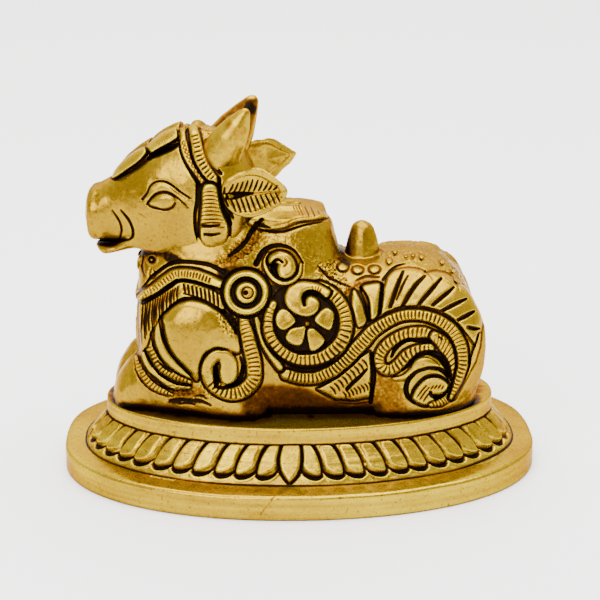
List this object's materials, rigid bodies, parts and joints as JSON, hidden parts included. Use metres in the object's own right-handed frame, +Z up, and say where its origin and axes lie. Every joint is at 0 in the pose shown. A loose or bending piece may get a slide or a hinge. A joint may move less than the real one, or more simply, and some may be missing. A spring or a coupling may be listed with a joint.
{
  "type": "nandi bull figure",
  "caption": "Recumbent garlanded bull with upright horns and a hump, cast in brass in one piece with an oval lotus base that stands on a flat underside.",
  "frame": {"origin": "centre of the flat underside of the base", "axes": "+X towards the bull's rump, -X towards its muzzle, -Y towards the bull's left flank, +Z up"},
  "size_m": [0.092, 0.0614, 0.0723],
  "materials": {
    "brass": "antiqued, dark in the grooves and rubbed bright on the ridges"
  },
  "bodies": {
    "root": {"nandi_bull_on_lotus_base": "brass"}
  },
  "joints": []
}
